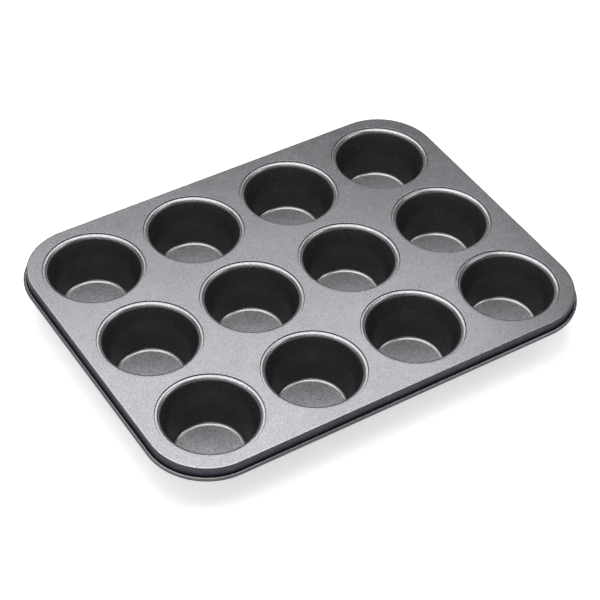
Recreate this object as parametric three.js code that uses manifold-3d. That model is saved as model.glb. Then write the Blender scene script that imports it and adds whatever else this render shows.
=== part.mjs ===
// A twelve-cup muffin tin: a pressed deck sheet with a wired rim, and twelve drawn cups seated in it.
// Millimetres. +X runs along the long side, +Z is up, and z = 0 is the plane that the cups stand on.

import * as THREE from 'three';
import { mergeVertices } from 'three/addons/utils/BufferGeometryUtils.js';
import Module from 'manifold-3d';

// Layout
const COLUMNS = 4;
const ROWS = 3;
const PITCH = 83; // from one cup's centre to the next, both ways
const SHEET = 0.6; // steel sheet of the deck and of the cups
const GAP = 0.3; // clearance between pieces that touch

// Cups and the seats that hold them
const CUP_DEPTH = 37.5; // from the deck's top down to the cup's inner floor
const SEAT_RADIUS = 37.5; // the stepped hole in the deck, which is the seam around each mouth
const SEAT_DROP = 0.7; // the flange lies this far below the deck's top
const FLANGE_FLAT = 0.6;
const LIP_RADIUS = 3.2; // upper side of the bend from the flange into the wall
const WALL_LEAN = THREE.MathUtils.degToRad(13); // the wall closes in towards the floor
const FLOOR_BEND = 3; // inner radius between the wall and the floor
const NECK_LENGTH = 4; // straight end of the deck's neck around a cup

// Deck and rim
const DECK_LENGTH = 345;
const DECK_WIDTH = 260;
const CORNER_RADIUS = 44;
const SHOULDER_RADIUS = 1.2; // bend from the deck down into its skirt
const RIM_DEPTH = 10.7; // from the deck's top to the underside of the rolled edge
const WIRE_RADIUS = 0.65;
const CURL_END = THREE.MathUtils.degToRad(475); // where the edge rolled around the wire stops

// Facets
const CIRCLE_STEPS = 24;
const CORNER_STEPS = 6;
const BEND_STEPS = 2;
const SHOULDER_STEPS = 3;
const CURL_STEPS = 10;
const WIRE_STEPS = 6;
const MERGE_DISTANCE = 1e-4; // corners closer than this are one

// Levels and radii that follow
const DECK_TOP = SHEET + CUP_DEPTH;
const FLANGE_TOP = DECK_TOP - SEAT_DROP;
const FLANGE_RADIUS = SEAT_RADIUS - GAP;
const LIP_CENTRE = new THREE.Vector2(FLANGE_RADIUS - FLANGE_FLAT, FLANGE_TOP - LIP_RADIUS);
const CURL_RADIUS = WIRE_RADIUS + GAP;
const CURL_CENTRE = new THREE.Vector2(CURL_RADIUS, DECK_TOP - RIM_DEPTH + CURL_RADIUS + SHEET);

const manifold = await Module();
manifold.setup();

// Points on an arc about centre, from one angle to another, both ends included.
function arc(centre, radius, from, to, steps) {
  const points = [];
  for (let i = 0; i <= steps; i++) {
    const angle = from + ((to - from) * i) / steps;
    points.push(new THREE.Vector2(centre.x + radius * Math.cos(angle), centre.y + radius * Math.sin(angle)));
  }
  return points;
}

const point = (x, y) => new THREE.Vector2(x, y);

// A profile of radius and height, turned about the Z axis.
function turned(profile) {
  return new THREE.LatheGeometry(profile, CIRCLE_STEPS).rotateX(Math.PI / 2);
}

// A point of the deck's outline. Each corner takes CORNER_STEPS + 1 stations, counted anticlockwise.
function outlinePoint(station, radius) {
  const quarter = Math.floor(station / (CORNER_STEPS + 1));
  const angle = (quarter + (station % (CORNER_STEPS + 1)) / CORNER_STEPS) * (Math.PI / 2);
  const alongX = [1, -1, -1, 1][quarter] * (DECK_LENGTH / 2 - CORNER_RADIUS);
  const alongY = [1, 1, -1, -1][quarter] * (DECK_WIDTH / 2 - CORNER_RADIUS);
  return point(alongX + radius * Math.cos(angle), alongY + radius * Math.sin(angle));
}

const STATIONS = 4 * (CORNER_STEPS + 1);

// A closed profile carried around the deck's outline. Its x is the distance outside the skirt.
function swept(profile) {
  const loop = [...profile, profile[0]].map((p) => point(CORNER_RADIUS + p.x, p.y));
  const geometry = new THREE.LatheGeometry(loop, STATIONS);
  const position = geometry.attributes.position;
  for (let i = 0; i < position.count; i++) {
    const { x: radius, y: height } = loop[i % loop.length];
    const station = Math.floor(i / loop.length) % STATIONS;
    const place = outlinePoint(station, radius);
    position.setXYZ(i, place.x, place.y, height);
  }
  return geometry;
}

// The triangles of a geometry that have three different corners, with shared corners merged.
function closedMesh(geometry) {
  geometry.deleteAttribute('normal');
  geometry.deleteAttribute('uv');
  const merged = mergeVertices(geometry, MERGE_DISTANCE);
  const corners = merged.index.array;
  const kept = [];
  for (let i = 0; i < corners.length; i += 3) {
    const [a, b, c] = corners.slice(i, i + 3);
    if (a !== b && b !== c && c !== a) kept.push(a, b, c);
  }
  merged.setIndex(kept);
  return merged;
}

function toSolid(geometry) {
  const merged = closedMesh(geometry);
  const mesh = new manifold.Mesh({
    numProp: 3,
    vertProperties: new Float32Array(merged.attributes.position.array),
    triVerts: new Uint32Array(merged.index.array),
  });
  return new manifold.Manifold(mesh);
}

function toGeometry(solid) {
  const mesh = solid.getMesh();
  const geometry = new THREE.BufferGeometry();
  geometry.setAttribute('position', new THREE.BufferAttribute(mesh.vertProperties, 3));
  geometry.setIndex(new THREE.BufferAttribute(mesh.triVerts, 1));
  geometry.computeVertexNormals();
  return geometry;
}

function cupCentre(row, column) {
  return point((column - (COLUMNS - 1) / 2) * PITCH, ((ROWS - 1) / 2 - row) * PITCH);
}

// One side of the cup's sheet from the floor's middle out to the flange, offset down by depth.
function cupSide(depth) {
  const wallTop = Math.PI - WALL_LEAN;
  const lip = arc(LIP_CENTRE, LIP_RADIUS - depth, wallTop, Math.PI / 2, BEND_STEPS);
  const bendRadius = FLOOR_BEND + depth;
  const bendHeight = SHEET + FLOOR_BEND;
  const innerWallTop = LIP_CENTRE.x + LIP_RADIUS * Math.cos(wallTop);
  const innerWallHeight = LIP_CENTRE.y + LIP_RADIUS * Math.sin(wallTop);
  const drop = innerWallHeight - bendHeight + FLOOR_BEND * Math.sin(WALL_LEAN);
  const wallFoot = innerWallTop - drop * Math.tan(WALL_LEAN);
  const bendCentre = point(wallFoot - FLOOR_BEND * Math.cos(WALL_LEAN), bendHeight);
  const bend = arc(bendCentre, bendRadius, -Math.PI / 2, -WALL_LEAN, BEND_STEPS);
  return [point(0, SHEET - depth), ...bend, ...lip, point(FLANGE_RADIUS, FLANGE_TOP - depth)];
}

function cupGeometry() {
  const outside = cupSide(SHEET);
  const inside = cupSide(0);
  return closedMesh(turned([...outside, ...inside.reverse()]));
}

// The stepped hole that a cup sits in: a ledge below the flange, and a neck that follows the lip.
function seatProfile() {
  const ledge = FLANGE_TOP - SHEET - GAP;
  const neckBend = LIP_RADIUS - SHEET - GAP;
  const lean = (neck) => point(neck.x - NECK_LENGTH * Math.tan(WALL_LEAN), neck.y - NECK_LENGTH);
  const [neckTop, ledgeEdge] = arc(LIP_CENTRE, neckBend, Math.PI - WALL_LEAN, Math.PI / 2, 1);
  const [outerNeckTop, outerLedgeEdge] = arc(LIP_CENTRE, neckBend - SHEET, Math.PI - WALL_LEAN, Math.PI / 2, 1);
  return [
    lean(neckTop),
    lean(outerNeckTop),
    outerNeckTop,
    outerLedgeEdge,
    point(SEAT_RADIUS + SHEET, ledge - SHEET),
    point(SEAT_RADIUS + SHEET, DECK_TOP),
    point(SEAT_RADIUS, DECK_TOP),
    point(SEAT_RADIUS, ledge),
    ledgeEdge,
    neckTop,
  ];
}

// The deck's flat sheet, pierced for the cups.
function plateGeometry() {
  const edge = CORNER_RADIUS - SHOULDER_RADIUS - SHEET;
  const outline = Array.from({ length: STATIONS }, (_, station) => outlinePoint(station, edge));
  const shape = new THREE.Shape(outline);
  for (let row = 0; row < ROWS; row++) {
    for (let column = 0; column < COLUMNS; column++) {
      const circle = arc(cupCentre(row, column), SEAT_RADIUS + SHEET / 2, 0, 2 * Math.PI, CIRCLE_STEPS);
      shape.holes.push(new THREE.Path(circle.slice(0, CIRCLE_STEPS)));
    }
  }
  const plate = new THREE.ExtrudeGeometry(shape, { depth: SHEET, bevelEnabled: false });
  return plate.translate(0, 0, DECK_TOP - SHEET);
}

// The sheet past the plate: shoulder, skirt, and the edge rolled outwards around the wire.
function rimProfile() {
  const quarter = Math.PI / 2;
  const shoulder = point(-SHOULDER_RADIUS, DECK_TOP - SHOULDER_RADIUS);
  const start = -SHOULDER_RADIUS - 2 * SHEET;
  return [
    point(start, DECK_TOP - SHEET),
    ...arc(shoulder, SHOULDER_RADIUS - SHEET, quarter, 0, SHOULDER_STEPS),
    ...arc(CURL_CENTRE, CURL_RADIUS + SHEET, Math.PI, CURL_END, CURL_STEPS),
    ...arc(CURL_CENTRE, CURL_RADIUS, CURL_END, Math.PI, CURL_STEPS),
    ...arc(shoulder, SHOULDER_RADIUS, 0, quarter, SHOULDER_STEPS),
    point(start, DECK_TOP),
  ];
}

function deckGeometry() {
  let deck = toSolid(plateGeometry()).add(toSolid(swept(rimProfile())));
  for (let row = 0; row < ROWS; row++) {
    for (let column = 0; column < COLUMNS; column++) {
      const { x, y } = cupCentre(row, column);
      deck = deck.add(toSolid(turned([...seatProfile(), seatProfile()[0]]).translate(x, y, 0)));
    }
  }
  return toGeometry(deck);
}

function wireGeometry() {
  return closedMesh(swept(arc(CURL_CENTRE, WIRE_RADIUS, 0, 2 * Math.PI, WIRE_STEPS).slice(0, WIRE_STEPS)));
}

function addPiece(group, name, geometry, look) {
  const mesh = new THREE.Mesh(geometry, new THREE.MeshStandardMaterial(look));
  mesh.name = name;
  group.add(mesh);
  return mesh;
}

const coatedSteel = { color: 0x8b8c8e, roughness: 0.38, metalness: 0.85 };
const bareWire = { color: 0x9b9a97, roughness: 0.45, metalness: 1 };

const tin = new THREE.Group();
addPiece(tin, 'deck', deckGeometry(), coatedSteel);
addPiece(tin, 'rim_wire', wireGeometry(), bareWire);
for (let row = 0; row < ROWS; row++) {
  for (let column = 0; column < COLUMNS; column++) {
    const cup = addPiece(tin, `cup_row${row + 1}_column${column + 1}`, cupGeometry(), coatedSteel);
    const { x, y } = cupCentre(row, column);
    cup.position.set(x, y, 0);
  }
}

export default tin;
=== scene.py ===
import math

import bmesh
import bpy
from mathutils import Matrix, Vector
from mathutils.geometry import delaunay_2d_cdt


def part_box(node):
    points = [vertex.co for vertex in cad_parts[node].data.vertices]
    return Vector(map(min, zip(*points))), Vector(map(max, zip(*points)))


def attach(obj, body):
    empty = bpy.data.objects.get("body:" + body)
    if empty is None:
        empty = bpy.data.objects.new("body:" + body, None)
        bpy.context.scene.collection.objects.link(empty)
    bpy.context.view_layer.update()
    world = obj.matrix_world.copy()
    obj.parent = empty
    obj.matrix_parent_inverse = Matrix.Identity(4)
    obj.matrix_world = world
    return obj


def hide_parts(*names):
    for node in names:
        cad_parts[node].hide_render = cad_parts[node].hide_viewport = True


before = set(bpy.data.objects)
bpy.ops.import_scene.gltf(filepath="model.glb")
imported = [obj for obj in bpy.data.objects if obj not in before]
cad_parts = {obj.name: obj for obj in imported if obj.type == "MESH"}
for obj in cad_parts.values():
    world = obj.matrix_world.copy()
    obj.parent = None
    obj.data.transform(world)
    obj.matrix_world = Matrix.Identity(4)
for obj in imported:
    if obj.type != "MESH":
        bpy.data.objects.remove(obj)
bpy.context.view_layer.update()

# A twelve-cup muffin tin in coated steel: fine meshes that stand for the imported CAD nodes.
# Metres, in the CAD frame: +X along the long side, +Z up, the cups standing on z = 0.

MM = 0.001
QUARTER = math.pi / 2

# Sections, as in the CAD model
SHEET = 0.6 * MM
GAP = 0.3 * MM
SEAT_DROP = 0.7 * MM
FLANGE_FLAT = 0.6 * MM
LIP_RADIUS = 3.2 * MM
WALL_LEAN = math.radians(13)
FLOOR_BEND = 3 * MM
NECK_LENGTH = 4 * MM
CORNER_RADIUS = 44 * MM
SHOULDER_RADIUS = 1.2 * MM
WIRE_RADIUS = 0.65 * MM
CURL_START = math.pi  # the curl leaves the skirt here and turns anticlockwise
CURL_END = math.radians(475)

# Places that the frame gives. A section's points are (distance out, height).
deck_low, deck_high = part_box("deck")
DECK_TOP = deck_high.z
CURL_RADIUS = WIRE_RADIUS + GAP
CURL_REACH = 2 * CURL_RADIUS + SHEET
CURL_CENTRE = Vector((CURL_RADIUS, deck_low.z + CURL_RADIUS + SHEET))
CORNER_X = deck_high.x - CURL_REACH - CORNER_RADIUS
CORNER_Y = deck_high.y - CURL_REACH - CORNER_RADIUS
CUPS = sorted(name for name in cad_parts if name.startswith("cup_"))
cup_low, cup_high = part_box(CUPS[0])
FLANGE_RADIUS = (cup_high.x - cup_low.x) / 2
SEAT_RADIUS = FLANGE_RADIUS + GAP
FLANGE_TOP = DECK_TOP - SEAT_DROP
LIP_CENTRE = Vector((FLANGE_RADIUS - FLANGE_FLAT, FLANGE_TOP - LIP_RADIUS))

# Details finer than the CAD model's
EDGE_ROUND = 0.22 * MM  # cut edges of the sheet are slightly rounded
SEAM_GAP = 0.12 * MM  # what shows between a flange and its seat

# Fineness of the meshes
CIRCLE_STEPS = 120
CORNER_STEPS = 20
STATIONS = 4 * (CORNER_STEPS + 1)
LIP_STEPS = 14
WALL_STEPS = 10
FLOOR_BEND_STEPS = 10
FLOOR_STEPS = 6
NECK_STEPS = 8
EDGE_STEPS = 4
SHOULDER_STEPS = 10
SHOULDER_BACK_STEPS = 6
SKIRT_STEPS = 6
SKIRT_BACK_STEPS = 4
CURL_STEPS = 30
WIRE_STEPS = 14
FLOOR_HUB = 4 * MM  # radius of the fan of triangles at the middle of a cup's floor
SEAT_MARGIN = 2 * MM  # width of the deck's level ring round each seat
RIM_MARGIN = 2.5 * MM  # width of the deck's level strip beside the shoulder
SHOULDER_MARGIN = 0.3 * MM  # width of the finer strip next to the shoulder

# Surface marks carried by the meshes: (painted shade, painted highlight, dull). The painted shade
# darkens where shade and dark reflections fall, the painted highlight lightens where highlights
# fall, and dull roughens.
CLEAN = (0.0, 0.0, 0.0)
# Cups' outsides and the deck's underside: painted shade, lifted a little by painted highlight
OUTSIDE = (0.45, 0.1, 0.0)
# Painted shade in the creases and gaps: round each flange, down each seat's step and neck, inside
# the curl
SHADED_CREASE = (1.0, 0.0, 0.0)
CUP_FLOOR = (0.0, 0.0, 1.0)
# Strengths of the painted shade on the wall's top and the skirt, and of the painted highlights on
# the lip, the floor's bend and outer edge, the shoulder's top edge and the bead's top
WALL_TOP_SHADE = 0.48
LIP_HIGHLIGHT = 0.6
FLOOR_BEND_HIGHLIGHT = 0.8
FLOOR_EDGE_HIGHLIGHT = 0.6
SKIRT_SHADE = 0.85
SKIRT_DULL = 0.4
SHOULDER_HIGHLIGHT = 0.7
BEAD_HIGHLIGHT = 0.5


# ---------------------------------------------------------------- meshes

class Skin:
    """A mesh being made, with three marks on each of its points."""

    def __init__(self):
        self.bm = bmesh.new()
        self.painted_shade = self.bm.verts.layers.float.new("painted_shade")
        self.painted_highlight = self.bm.verts.layers.float.new("painted_highlight")
        self.dull = self.bm.verts.layers.float.new("dull")

    def vertex(self, x, y, z, marks):
        vertex = self.bm.verts.new((x, y, z))
        vertex[self.painted_shade], vertex[self.painted_highlight], vertex[self.dull] = marks
        return vertex

    def join(self, ring, following):
        """Faces between two rings of points. A ring of one point is a pole."""
        count = max(len(ring), len(following))
        for i in range(count):
            a, b = ring[i % len(ring)], ring[(i + 1) % len(ring)]
            c, d = following[(i + 1) % len(following)], following[i % len(following)]
            corners = list(dict.fromkeys((a, b, c, d)))
            self.bm.faces.new(corners)

    def skin(self, rings, closed=False):
        for ring, following in zip(rings, rings[1:]):
            self.join(ring, following)
        if closed:
            self.join(rings[-1], rings[0])

    def fill(self, outer, holes):
        """Flat faces between an outer ring and the rings of its holes."""
        loops = [outer, *holes]
        points = [vertex for loop in loops for vertex in loop]
        edges = []
        start = 0
        for loop in loops:
            count = len(loop)
            edges += [(start + i, start + (i + 1) % count) for i in range(count)]
            start += count
        flat = [vertex.co.to_2d() for vertex in points]
        whole_hull, closeness = 0, 1e-9
        _, _, faces, originals, _, _ = delaunay_2d_cdt(flat, edges, [], whole_hull, closeness)
        owner = [index for index, loop in enumerate(loops) for _ in loop]
        for face in faces:
            corners = [originals[i][0] for i in face]
            owners = {owner[i] for i in corners}
            # A face with all its corners on one hole's ring lies in that hole
            if len(owners) > 1 or owners == {0}:
                self.bm.faces.new([points[i] for i in corners])

    def build(self, name, material):
        """The mesh as a smooth object in the scene."""
        bmesh.ops.recalc_face_normals(self.bm, faces=self.bm.faces)
        mesh = bpy.data.meshes.new(name)
        self.bm.to_mesh(mesh)
        self.bm.free()
        mesh.shade_smooth()
        piece = bpy.data.objects.new(name, mesh)
        bpy.context.scene.collection.objects.link(piece)
        mesh.materials.append(material)
        return piece

    def finish(self, name, material, node):
        """The mesh as the visible piece that stands for a CAD node."""
        piece = self.build(name, material)
        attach(piece, "root")
        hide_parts(node)


def arc(centre, radius, start, end, steps):
    angles = [start + (end - start) * i / steps for i in range(steps + 1)]
    return [(centre[0] + radius * math.cos(a), centre[1] + radius * math.sin(a)) for a in angles]


def line(start, end, steps):
    """Points from start up to, but not including, end."""
    return [tuple(Vector(start).lerp(Vector(end), i / steps)) for i in range(steps)]


def turned(skin, profile, centre, steps=CIRCLE_STEPS):
    """Rings of a profile of (radius, height, marks) turned about an upright axis."""
    rings = []
    for radius, height, marks in profile:
        count = steps if radius > 0 else 1
        ring = []
        for i in range(count):
            angle = 2 * math.pi * i / count
            x = centre[0] + radius * math.cos(angle)
            y = centre[1] + radius * math.sin(angle)
            ring.append(skin.vertex(x, y, height, marks))
        rings.append(ring)
    return rings


def outline_point(station, radius):
    """A point of the deck's rounded outline. Each quarter of the stations goes round one corner."""
    corner, step = divmod(station, CORNER_STEPS + 1)
    angle = (corner + step / CORNER_STEPS) * math.pi / 2
    x = (1, -1, -1, 1)[corner] * CORNER_X + radius * math.cos(angle)
    y = (1, 1, -1, -1)[corner] * CORNER_Y + radius * math.sin(angle)
    return x, y


def swept(skin, profile):
    """Rings of a profile of (outset, height, marks) carried around the deck's outline."""
    rings = []
    for outset, height, marks in profile:
        places = [outline_point(station, CORNER_RADIUS + outset) for station in range(STATIONS)]
        rings.append([skin.vertex(x, y, height, marks) for x, y in places])
    return rings


def marked(points, marks):
    """Each point of a profile with its marks, which are fixed or a function of the point."""
    return [(x, y, marks(x, y) if callable(marks) else marks) for x, y in points]


def ramp(value, low, high):
    """0 up to low and 1 from high on, straight in between."""
    return min(1.0, max(0.0, (value - low) / (high - low)))


# ---------------------------------------------------------------- cups

def cup_side(depth):
    """One side of a cup's sheet, from the floor's middle to the flange, offset down by depth."""
    wall_top = math.pi - WALL_LEAN
    lip = arc(LIP_CENTRE, LIP_RADIUS - depth, wall_top, QUARTER, LIP_STEPS)
    top_x = LIP_CENTRE.x + LIP_RADIUS * math.cos(wall_top)
    top_z = LIP_CENTRE.y + LIP_RADIUS * math.sin(wall_top)
    bend_z = SHEET + FLOOR_BEND
    drop = top_z - bend_z + FLOOR_BEND * math.sin(WALL_LEAN)
    foot = top_x - drop * math.tan(WALL_LEAN)
    bend_centre = (foot - FLOOR_BEND * math.cos(WALL_LEAN), bend_z)
    bend = arc(bend_centre, FLOOR_BEND + depth, -QUARTER, -WALL_LEAN, FLOOR_BEND_STEPS)
    floor = line((FLOOR_HUB, SHEET - depth), bend[0], FLOOR_STEPS)
    wall = line(bend[-1], lip[0], WALL_STEPS)[1:]
    return floor + bend + wall + lip


def inner_marks(radius, height):
    """Painted shade on the wall, darkest towards its foot; the floor is dull; painted highlights run
    round the lip, the floor's bend and the floor's outer edge.
    """
    # Each ramp runs between the distances where a tone starts and where it is complete
    above_floor = height - SHEET
    below_flange = FLANGE_TOP - height
    wall = ramp(above_floor, 0.4 * MM, 1.5 * MM) * ramp(below_flange, 0.8 * MM, 2.8 * MM)
    foot = ramp(below_flange, 4 * MM, 26 * MM)
    # Painted shade inside the cup, deepening towards the wall's foot
    painted_shade = wall * (WALL_TOP_SHADE + (1 - WALL_TOP_SHADE) * foot)
    lip = 1 - ramp(below_flange, 0.3 * MM, 1.5 * MM)
    floor = 1 - ramp(above_floor, 0, 0.1 * MM)
    bend = (1 - floor) * (1 - ramp(above_floor, 0.4 * MM, 1.2 * MM))
    edge = floor * ramp(radius, 12 * MM, 23 * MM)
    # Painted highlights on the lip, the floor's bend and the floor's outer edge
    painted_highlight = LIP_HIGHLIGHT * lip + FLOOR_BEND_HIGHLIGHT * bend + FLOOR_EDGE_HIGHLIGHT * edge
    return (painted_shade, painted_highlight, floor)


def middle(node):
    low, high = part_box(node)
    return ((low.x + high.x) / 2, (low.y + high.y) / 2)


def cup(node):
    skin = Skin()
    inside = marked(cup_side(0), inner_marks)
    outside = marked(cup_side(SHEET), OUTSIDE)
    rim = SEAT_RADIUS - SEAM_GAP
    round_centre = (rim - EDGE_ROUND, FLANGE_TOP - EDGE_ROUND)
    edge = marked(arc(round_centre, EDGE_ROUND, QUARTER, 0, EDGE_STEPS), CLEAN)
    # Painted shade in the seam below the flange's rounded edge
    edge += [(rim, FLANGE_TOP - SHEET, SHADED_CREASE)]
    profile = [(0, SHEET, CUP_FLOOR)] + inside + edge + outside[::-1] + [(0, 0, OUTSIDE)]
    skin.skin(turned(skin, profile, middle(node)))
    skin.finish(node.replace("cup_", "drawn_cup_"), cup_steel, node)


# ---------------------------------------------------------------- deck and wire

def seat_profile():
    """From the deck's top down into the stepped hole, round its neck's end and back underneath."""
    ledge = FLANGE_TOP - SHEET - GAP
    neck = LIP_RADIUS - SHEET - GAP
    neck_turn = math.pi - WALL_LEAN
    bend = arc(LIP_CENTRE, neck, QUARTER, neck_turn, NECK_STEPS)
    under_bend = arc(LIP_CENTRE, neck - SHEET, neck_turn, QUARTER, NECK_STEPS)
    shift = Vector((-NECK_LENGTH * math.tan(WALL_LEAN), -NECK_LENGTH))
    neck_end = [tuple(Vector(bend[-1]) + shift), tuple(Vector(under_bend[0]) + shift)]
    round_centre = (SEAT_RADIUS + EDGE_ROUND, DECK_TOP - EDGE_ROUND)
    mouth = arc(round_centre, EDGE_ROUND, QUARTER, math.pi, EDGE_STEPS)
    top = [(SEAT_RADIUS + SEAT_MARGIN, DECK_TOP), (SEAT_RADIUS + 2 * EDGE_ROUND, DECK_TOP)]
    step = [(SEAT_RADIUS, DECK_TOP - SEAT_DROP), (SEAT_RADIUS, ledge)]
    back = [(SEAT_RADIUS + SHEET, ledge - SHEET), (SEAT_RADIUS + SHEET, DECK_TOP - SHEET)]
    back += [(SEAT_RADIUS + SEAT_MARGIN, DECK_TOP - SHEET)]
    # Painted shade down the seat's step and round the neck, and a lighter painted shade under the
    # deck
    profile = marked(top + mouth, CLEAN) + marked(step + bend + neck_end, SHADED_CREASE)
    return profile + marked(under_bend + back, OUTSIDE)


def shoulder_marks(outset, height):
    fallen = DECK_TOP - height
    # A painted highlight along the shoulder's top edge, and painted shade where it turns down into
    # the skirt
    painted_shade = SKIRT_SHADE * ramp(fallen, 0.05 * MM, 0.7 * MM)
    return (painted_shade, SHOULDER_HIGHLIGHT * (1 - ramp(fallen, 0, 0.25 * MM)), 0)


def skirt_marks(outset, height):
    # Painted shade over the skirt, standing for its dark reflection, deepest towards its foot
    foot = ramp(DECK_TOP - height, 1.5 * MM, 7 * MM)
    return (SKIRT_SHADE + (1 - SKIRT_SHADE) * foot, 0, SKIRT_DULL)


def bead_marks(outset, height):
    """Painted shade over the bead, with a painted highlight along its top."""
    top = ramp((height - CURL_CENTRE.y) / (CURL_RADIUS + SHEET), 0, 0.5)
    return (1 - (1 - SKIRT_SHADE) * top, BEAD_HIGHLIGHT * top, 0)


def rim_profile():
    """From the deck's top over the shoulder, down the skirt, round the curl and back underneath."""
    shoulder = (-SHOULDER_RADIUS, DECK_TOP - SHOULDER_RADIUS)
    start = -SHOULDER_RADIUS - RIM_MARGIN
    top = [(start, DECK_TOP), (-SHOULDER_RADIUS - SHOULDER_MARGIN, DECK_TOP)]
    over = arc(shoulder, SHOULDER_RADIUS, QUARTER, 0, SHOULDER_STEPS)
    skirt = line(over[-1], (0, CURL_CENTRE.y), SKIRT_STEPS)[1:]
    inside_curl = arc(CURL_CENTRE, CURL_RADIUS, CURL_START, CURL_END, CURL_STEPS)
    outside_curl = arc(CURL_CENTRE, CURL_RADIUS + SHEET, CURL_END, CURL_START, CURL_STEPS)
    behind = line(outside_curl[-1], (-SHEET, shoulder[1]), SKIRT_BACK_STEPS)[1:]
    under = arc(shoulder, SHOULDER_RADIUS - SHEET, 0, QUARTER, SHOULDER_BACK_STEPS)
    under += [(start, DECK_TOP - SHEET)]
    profile = marked(top, CLEAN) + marked(over, shoulder_marks) + marked(skirt, skirt_marks)
    # Painted shade in the crevice inside the curl; painted shade and a painted highlight on the bead
    profile += marked(inside_curl, SHADED_CREASE) + marked(outside_curl, bead_marks)
    return profile + marked(behind + under, OUTSIDE)


def deck():
    skin = Skin()
    rim = swept(skin, rim_profile())
    skin.skin(rim)
    seats = []
    for node in CUPS:
        rings = turned(skin, seat_profile(), middle(node))
        skin.skin(rings)
        seats.append(rings)
    skin.fill(rim[0], [rings[0] for rings in seats])
    skin.fill(rim[-1], [rings[-1] for rings in seats])
    skin.finish("pressed_deck", deck_steel, "deck")


def rim_wire():
    skin = Skin()
    section = arc(CURL_CENTRE, WIRE_RADIUS, 0, 2 * math.pi, WIRE_STEPS)[:-1]
    skin.skin(swept(skin, marked(section, CLEAN)), closed=True)
    skin.finish("stiffening_wire", bare_wire, "rim_wire")


# ---------------------------------------------------------------- materials

class Shader:
    """A short way to write a node material."""

    def __init__(self, name):
        self.material = bpy.data.materials.new(name)
        self.material.use_nodes = True
        self.tree = self.material.node_tree
        self.surface = self.tree.nodes["Principled BSDF"].inputs
        self.place = self.node("TexCoord").outputs["Object"]

    def node(self, kind):
        return self.tree.nodes.new("ShaderNode" + kind)

    def put(self, value, socket):
        """A socket's value, or the link that feeds it."""
        if isinstance(value, bpy.types.NodeSocket):
            self.tree.links.new(value, socket)
        else:
            socket.default_value = value

    def noise(self, size, detail=2.0, stretch=(1, 1, 1), rough=0.5):
        """Noise whose features are about size metres across."""
        mapping = self.node("Mapping")
        mapping.inputs["Scale"].default_value = [s / size for s in stretch]
        self.put(self.place, mapping.inputs["Vector"])
        noise = self.node("TexNoise")
        self.put(mapping.outputs["Vector"], noise.inputs["Vector"])
        noise.inputs["Scale"].default_value = 1.0
        noise.inputs["Detail"].default_value = detail
        noise.inputs["Roughness"].default_value = rough
        return noise.outputs["Fac"]

    def mark(self, name):
        attribute = self.node("Attribute")
        attribute.attribute_name = name
        return attribute.outputs["Fac"]

    def math(self, operation, a, b=0.0, c=0.0):
        node = self.node("Math")
        node.operation = operation
        for value, socket in zip((a, b, c), node.inputs):
            self.put(value, socket)
        return node.outputs["Value"]

    def ramp(self, value, low, high, out_low=0.0, out_high=1.0):
        node = self.node("MapRange")
        names = ("Value", "From Min", "From Max", "To Min", "To Max")
        for name, setting in zip(names, (value, low, high, out_low, out_high)):
            self.put(setting, node.inputs[name])
        return node.outputs["Result"]

    def between(self, noise, low, high):
        """Noise stretched to run from low to high."""
        return self.ramp(noise, 0.3, 0.7, low, high)

    def mix(self, factor, a, b):
        node = self.node("Mix")
        node.data_type = "RGBA"
        self.put(factor, node.inputs["Factor"])
        self.put(a, node.inputs["A"])
        self.put(b, node.inputs["B"])
        return node.outputs["Result"]

    def scale(self, colour, factor):
        node = self.node("VectorMath")
        node.operation = "SCALE"
        self.put(colour, node.inputs[0])
        self.put(factor, node.inputs["Scale"])
        return node.outputs["Vector"]

    def bump(self, height, depth, under=None):
        node = self.node("Bump")
        node.inputs["Strength"].default_value = 1.0
        node.inputs["Distance"].default_value = depth
        self.put(height, node.inputs["Height"])
        if under is not None:
            self.put(under, node.inputs["Normal"])
        return node.outputs["Normal"]


COATING_CLEAN = (0.203, 0.2005, 0.2115, 1)
COATING_HIGHLIGHT = (0.30, 0.30, 0.305, 1)
METALLIC = 0.85
ROUGHNESS = 0.258
ROUGHNESS_SPREAD = 0.02  # how far the grain and the mottling each move it
DULL_ROUGHNESS = 0.25  # added on dull surfaces
SPECKLE = 1.3  # contrast of the flecks
DULL_SPECKLE = 0.9  # added on dull surfaces


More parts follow.
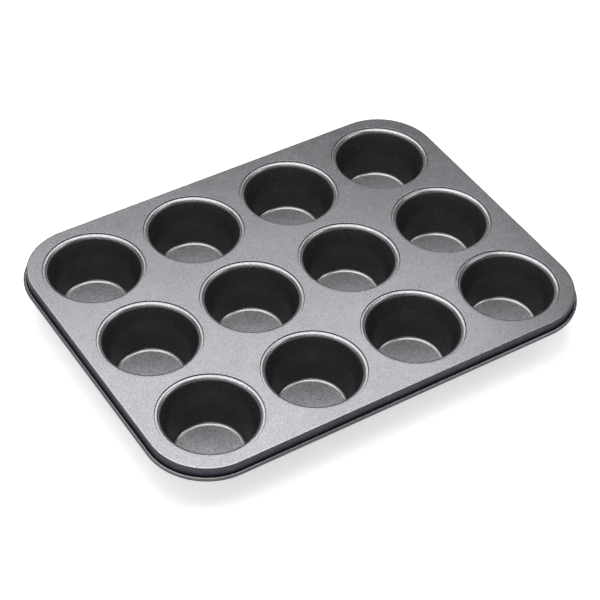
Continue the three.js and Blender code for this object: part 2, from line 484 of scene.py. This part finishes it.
def coated_steel(name, dark, edge_tint):
    """A satin grey non-stick coating: fine speckle and soft mottling, darkened by the painted shade
    and lightened by the painted highlight that the meshes mark.
    """
    coat = Shader(name)
    dull = coat.mark("dull")
    grain = coat.noise(0.55 * MM, detail=1.0)
    flecks = coat.noise(0.85 * MM, detail=1.0, rough=0.6)
    mottle = coat.noise(9 * MM, detail=3.0)
    sweep = coat.noise(70 * MM, detail=1.0)
    # Painted shade: the colour darkens towards dark where the meshes mark it
    painted_shade = coat.math("MULTIPLY", coat.mark("painted_shade"), coat.between(mottle, 0.92, 1.0))
    colour = coat.mix(painted_shade, COATING_CLEAN, dark)
    # Painted highlight: the colour lightens where the meshes mark it
    colour = coat.mix(coat.mark("painted_highlight"), colour, COATING_HIGHLIGHT)
    contrast = coat.math("MULTIPLY_ADD", dull, DULL_SPECKLE, SPECKLE)
    speckle = coat.math("MULTIPLY_ADD", coat.math("SUBTRACT", flecks, 0.5), contrast, 1.0)
    shade = coat.math("MULTIPLY", speckle, coat.between(sweep, 0.97, 1.03))
    coat.put(coat.scale(colour, shade), coat.surface["Base Color"])
    coat.surface["Metallic"].default_value = METALLIC
    coat.surface["Specular Tint"].default_value = (edge_tint, edge_tint, edge_tint, 1)
    grainy = coat.between(grain, ROUGHNESS - ROUGHNESS_SPREAD, ROUGHNESS + ROUGHNESS_SPREAD)
    patchy = coat.between(mottle, -ROUGHNESS_SPREAD, ROUGHNESS_SPREAD)
    roughness = coat.math("MULTIPLY_ADD", dull, DULL_ROUGHNESS, coat.math("ADD", grainy, patchy))
    coat.put(roughness, coat.surface["Roughness"])
    wavy = coat.bump(sweep, 0.25 * MM)
    coat.put(coat.bump(grain, 0.012 * MM, wavy), coat.surface["Normal"])
    return coat.material


def drawn_wire(name):
    """Plain drawn steel wire, with marks along its length."""
    wire = Shader(name)
    streak = wire.noise(0.8 * MM, detail=2.0, stretch=(0.05, 0.05, 1))
    colour = wire.mix(streak, (0.36, 0.35, 0.34, 1), (0.52, 0.51, 0.5, 1))
    wire.put(colour, wire.surface["Base Color"])
    wire.surface["Metallic"].default_value = 1.0
    wire.put(wire.ramp(streak, 0.2, 0.8, 0.35, 0.5), wire.surface["Roughness"])
    wire.put(wire.bump(streak, 0.01 * MM), wire.surface["Normal"])
    return wire.material


# The dark colours are what the painted shade darkens each coating to: near black on the deck, dark
# grey in the cups
deck_steel = coated_steel("deck_coating", dark=(0.024, 0.027, 0.0415, 1), edge_tint=0.45)
cup_steel = coated_steel("cup_coating", dark=(0.094, 0.092, 0.101, 1), edge_tint=0.8)
bare_wire = drawn_wire("wire_steel")

deck()
rim_wire()
for node in CUPS:
    cup(node)


# ---------------------------------------------------------------- floor, light and camera

AZIMUTH = math.radians(-34.15)
ELEVATION = math.radians(44.0)
ROLL = math.radians(2.77)
DISTANCE = 1.344
AIM = Vector((-0.0138, -0.0204, DECK_TOP))
LENS = 112.96  # mm, as Blender has it
SENSOR = 36  # mm

FLOOR_FLAT = 1.7  # radius of the level part of the floor
SWEEP_RADIUS = 1.3
SWEEP_STEPS = 24
ROUND_STEPS = 96  # around the floor
FLOOR_DROP = 0.5 * MM  # keeps the floor just clear of the cups
FLOOR_GLOW = 0.6
BACKDROP_GLOW = 0.15
DIM_HEIGHT = 0.5  # where the glow has faded to the backdrop's

WORLD_COLOUR = (0.97, 0.98, 1.0, 1)
WORLD_STRENGTH = 0.14
LAMPS = {
    "overhead": {"place": (0.10, 0.5625, 1.6), "aim": (0.10, 0.5625, 0), "spin": -0.475,
                 "size": (1.5, 2.289), "power": 37.8},
    "right_fill": {"place": (0.95, -0.50, 1.20), "size": (0.7, 0.7), "power": 4.4},
    "front_fill": {"place": (-0.75, -1.10, 1.25), "size": (1.2, 0.9), "power": 3.5},
    "left_fill": {"place": (-1.20, 0.10, 1.10), "size": (1.6, 1.2), "power": 5},
}


def floor():
    """A pale round table, lit a little from within, that sweeps up into a dimmer backdrop."""
    paper = Shader("pale_floor")
    paper.surface["Roughness"].default_value = 0.9
    cloudy = paper.mix(paper.noise(60 * MM), (0.58, 0.58, 0.58, 1), (0.62, 0.62, 0.62, 1))
    paper.put(cloudy, paper.surface["Base Color"])
    split = paper.node("SeparateXYZ")
    paper.put(paper.place, split.inputs["Vector"])
    glow = paper.ramp(split.outputs["Z"], 0, DIM_HEIGHT, FLOOR_GLOW, BACKDROP_GLOW)
    paper.surface["Emission Color"].default_value = (1, 1, 1, 1)
    paper.put(glow, paper.surface["Emission Strength"])
    sweep = arc((FLOOR_FLAT, SWEEP_RADIUS), SWEEP_RADIUS, -QUARTER, 0, SWEEP_STEPS)
    skin = Skin()
    skin.skin(turned(skin, marked([(0, 0)] + sweep, CLEAN), (0, 0), ROUND_STEPS))
    sheet = skin.build("floor", paper.material)
    sheet.location.z = -FLOOR_DROP


def softbox(name, place, size, power, aim=(0, 0, 0), spin=0):
    """A rectangular lamp that faces aim, turned about its own axis by spin. It isn't seen itself."""
    lamp = bpy.data.lights.new(name, "AREA")
    lamp.shape = "RECTANGLE"
    lamp.size, lamp.size_y = size
    lamp.energy = power
    holder = bpy.data.objects.new(name, lamp)
    holder.location = place
    facing = (Vector(aim) - Vector(place)).to_track_quat("-Z", "Y").to_matrix()
    holder.rotation_euler = (facing @ Matrix.Rotation(spin, 3, "Z")).to_euler()
    holder.visible_camera = False
    bpy.context.scene.collection.objects.link(holder)


def camera():
    """A camera DISTANCE from AIM, rolled about its own axis."""
    back = Vector((math.sin(AZIMUTH) * math.cos(ELEVATION),
                   -math.cos(AZIMUTH) * math.cos(ELEVATION), math.sin(ELEVATION)))
    level = Vector((0, 0, 1)).cross(back).normalized()
    above = back.cross(level)
    right = math.cos(ROLL) * level + math.sin(ROLL) * above
    up = back.cross(right)
    lens = bpy.data.cameras.new("camera")
    lens.lens = LENS
    lens.sensor_width = SENSOR
    view = bpy.data.objects.new("camera", lens)
    turn = Matrix((right, up, back)).transposed().to_4x4()
    view.matrix_world = Matrix.Translation(AIM + DISTANCE * back) @ turn
    bpy.context.scene.collection.objects.link(view)
    bpy.context.scene.camera = view


def studio():
    world = bpy.data.worlds.new("studio")
    bpy.context.scene.world = world
    world.use_nodes = True
    background = world.node_tree.nodes["Background"].inputs
    background["Color"].default_value = WORLD_COLOUR
    background["Strength"].default_value = WORLD_STRENGTH
    for name, settings in LAMPS.items():
        softbox(name, **settings)
    bpy.context.scene.view_settings.view_transform = "Standard"


floor()
studio()
camera()
